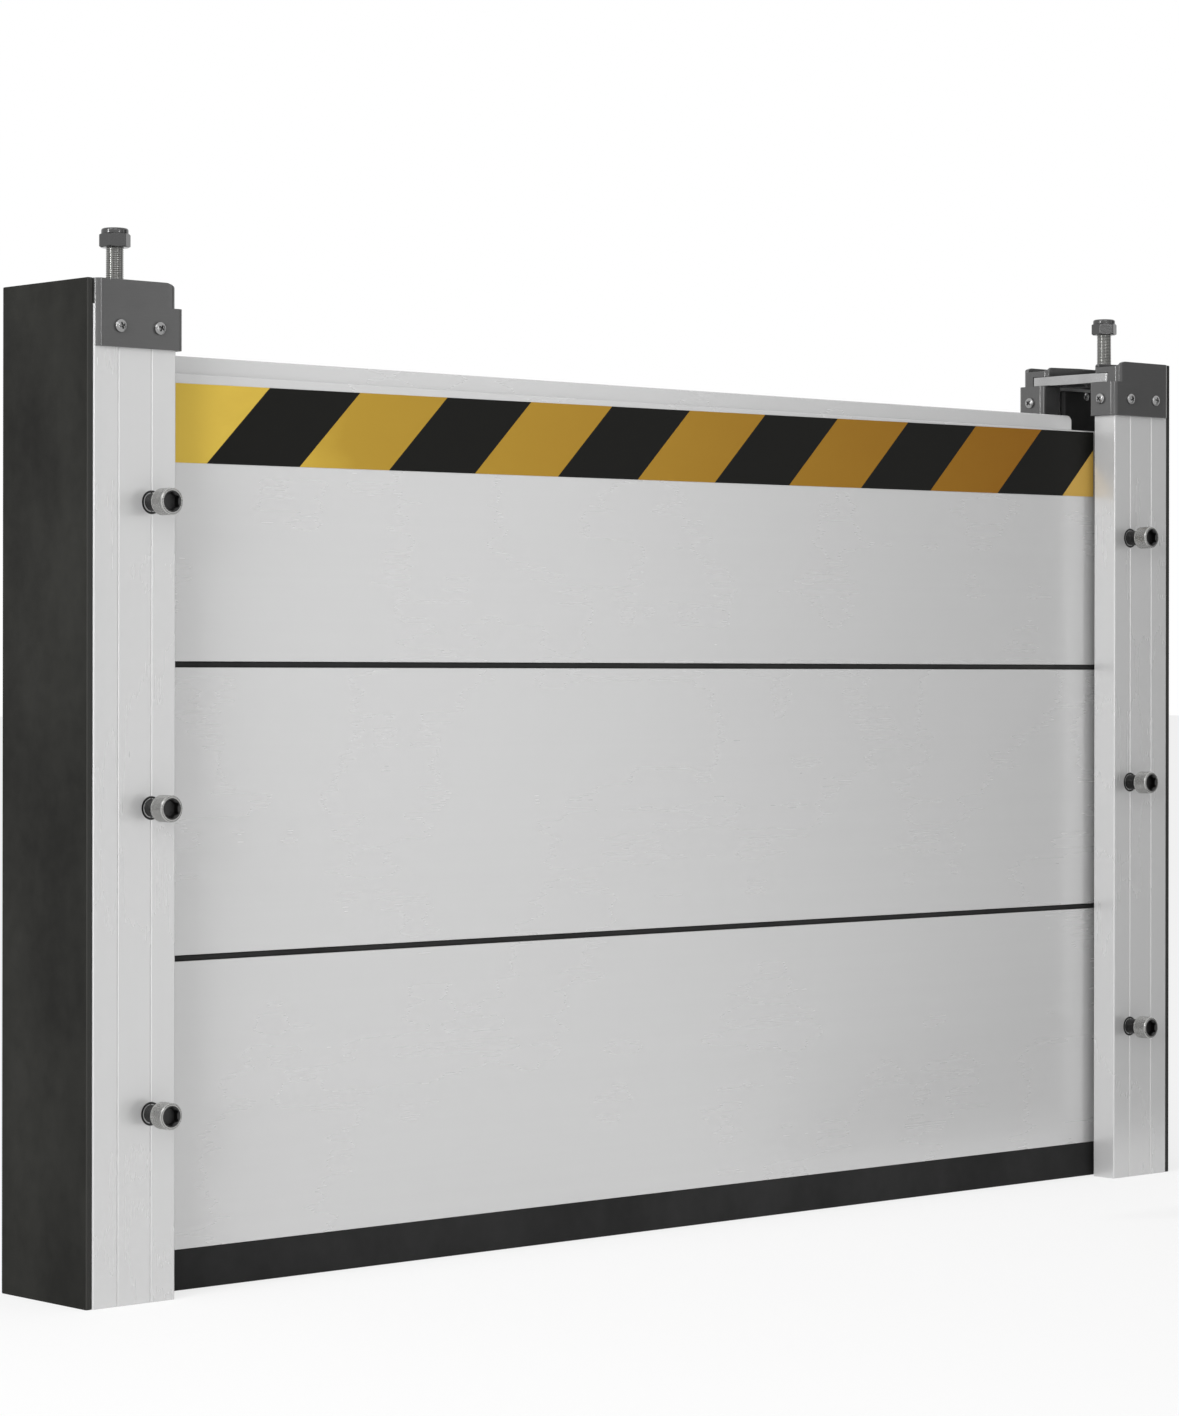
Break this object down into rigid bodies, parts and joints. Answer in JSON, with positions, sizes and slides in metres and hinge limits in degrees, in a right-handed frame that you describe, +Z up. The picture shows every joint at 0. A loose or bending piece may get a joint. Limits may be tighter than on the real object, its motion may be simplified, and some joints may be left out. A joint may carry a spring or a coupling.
{
  "type": "demountable flood barrier bay",
  "caption": "Flood barrier bay of hollow aluminium boards stacked between two channel posts, with rubber seals, clamp screws, press bolts and a striped tape.",
  "frame": {"origin": "on the floor under the bottom seal, at the middle of the bay and in the posts' middle plane", "axes": "+X along the barrier from the left post to the right one, +Y to the side without screws, +Z up"},
  "size_m": [1.11, 0.1295, 0.719],
  "materials": {
    "extruded_aluminium": "mill-finish extruded aluminium, faint lengthwise die lines",
    "dark_steel": "dark grey stainless sheet, fine brushed, bright at the bends",
    "bright_steel": "bright zinc-plated and stainless fasteners",
    "black_rubber": "matt black EPDM rubber",
    "black_plastic": "matt black moulded plastic",
    "hazard_tape": "satin plastic tape with plain yellow and black stripes at 45 degrees"
  },
  "bodies": {
    "barrier": {"left_post": "extruded_aluminium", "right_post": "extruded_aluminium", "left_wall_pad": "black_rubber", "right_wall_pad": "black_rubber", "left_cap_bracket": "dark_steel", "right_cap_bracket": "dark_steel", "left_cap_screws": "bright_steel", "right_cap_screws": "bright_steel", "left_press_plate": "bright_steel", "right_press_plate": "bright_steel", "left_clamp_inserts": "bright_steel", "right_clamp_inserts": "bright_steel", "left_pressure_strip": "black_rubber", "right_pressure_strip": "black_rubber", "left_channel_seal": "black_rubber", "right_channel_seal": "black_rubber", "lower_board": "extruded_aluminium", "middle_board": "extruded_aluminium", "top_board": "extruded_aluminium", "lower_board_end_caps": "black_plastic", "middle_board_end_caps": "black_plastic", "top_board_end_caps": "black_plastic", "lower_seam_seal": "black_rubber", "upper_seam_seal": "black_rubber", "bottom_seal": "black_rubber", "warning_tape": "hazard_tape"},
    "left_press_bolt": {"left_press_bolt": "bright_steel", "left_press_nut": "bright_steel"},
    "right_press_bolt": {"right_press_bolt": "bright_steel", "right_press_nut": "bright_steel"},
    "left_lower_clamp_screw": {"left_lower_clamp_screw": "bright_steel"},
    "left_middle_clamp_screw": {"left_middle_clamp_screw": "bright_steel"},
    "left_upper_clamp_screw": {"left_upper_clamp_screw": "bright_steel"},
    "right_lower_clamp_screw": {"right_lower_clamp_screw": "bright_steel"},
    "right_middle_clamp_screw": {"right_middle_clamp_screw": "bright_steel"},
    "right_upper_clamp_screw": {"right_upper_clamp_screw": "bright_steel"}
  },
  "joints": [
    {"name": "left_press_bolt_travel", "type": "slide", "parent": "barrier", "child": "left_press_bolt", "axis": [0, 0, 1], "range_m": [0, 0.028]},
    {"name": "right_press_bolt_travel", "type": "slide", "parent": "barrier", "child": "right_press_bolt", "axis": [0, 0, 1], "range_m": [0, 0.028]},
    {"name": "left_lower_clamp_screw_travel", "type": "slide", "parent": "barrier", "child": "left_lower_clamp_screw", "axis": [0, -1, 0], "range_m": [0, 0.01]},
    {"name": "left_middle_clamp_screw_travel", "type": "slide", "parent": "barrier", "child": "left_middle_clamp_screw", "axis": [0, -1, 0], "range_m": [0, 0.01]},
    {"name": "left_upper_clamp_screw_travel", "type": "slide", "parent": "barrier", "child": "left_upper_clamp_screw", "axis": [0, -1, 0], "range_m": [0, 0.01]},
    {"name": "right_lower_clamp_screw_travel", "type": "slide", "parent": "barrier", "child": "right_lower_clamp_screw", "axis": [0, -1, 0], "range_m": [0, 0.01]},
    {"name": "right_middle_clamp_screw_travel", "type": "slide", "parent": "barrier", "child": "right_middle_clamp_screw", "axis": [0, -1, 0], "range_m": [0, 0.01]},
    {"name": "right_upper_clamp_screw_travel", "type": "slide", "parent": "barrier", "child": "right_upper_clamp_screw", "axis": [0, -1, 0], "range_m": [0, 0.01]}
  ]
}
